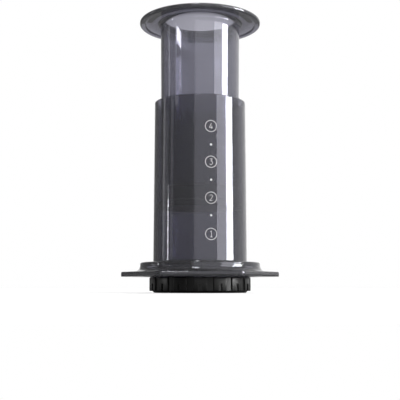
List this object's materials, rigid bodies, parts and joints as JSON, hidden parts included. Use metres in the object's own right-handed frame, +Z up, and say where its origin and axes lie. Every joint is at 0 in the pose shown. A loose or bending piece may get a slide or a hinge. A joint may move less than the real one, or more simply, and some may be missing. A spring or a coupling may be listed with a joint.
{
  "type": "manual coffee press",
  "caption": "Hand-operated coffee press: clear chamber with hexagonal flange, hollow sealed plunger, paper filter and a twist-on perforated cap; stands on a mug's rim.",
  "frame": {"origin": "middle of the filter cap's underside, on the press's axis", "axes": "+Z up along the axis towards the plunger's flange; +X towards a corner of the hexagonal flange; the picture looks along +Y"},
  "size_m": [0.109, 0.0958, 0.1924],
  "materials": {
    "clear_chamber_plastic": "smoke-grey translucent copolyester, polished",
    "clear_plunger_plastic": "smoke-grey translucent copolyester, polished",
    "seal_rubber": "satin dark grey elastomer",
    "black_cap_plastic": "satin black polypropylene",
    "filter_paper": "matte white filter paper"
  },
  "bodies": {
    "chamber": {"chamber": "clear_chamber_plastic"},
    "seal": {"plunger_seal": "seal_rubber"},
    "plunger": {"plunger_tube": "clear_plunger_plastic"},
    "filter": {"paper_filter": "filter_paper"},
    "cap": {"filter_cap": "black_cap_plastic"}
  },
  "joints": [
    {"name": "plunger_slide", "type": "slide", "parent": "chamber", "child": "seal", "axis": [0, 0, 1], "range_m": [-0.0544, 0.078]},
    {"name": "plunger_turn", "type": "hinge", "parent": "seal", "child": "plunger", "pos_m": [0, 0, 0.0721], "axis": [0, 0, 1], "continuous": true},
    {"name": "cap_drop", "type": "slide", "parent": "chamber", "child": "filter", "axis": [0, 0, -1], "range_m": [0, 0.0087]},
    {"name": "cap_twist", "type": "hinge", "parent": "filter", "child": "cap", "pos_m": [0, 0, 0.0022], "axis": [0, 0, -1], "range_deg": [0, 135]}
  ],
  "couplings": [
    {"joint": "cap_drop", "follows": "cap_twist", "m_per_rad": 0.0036287}
  ]
}
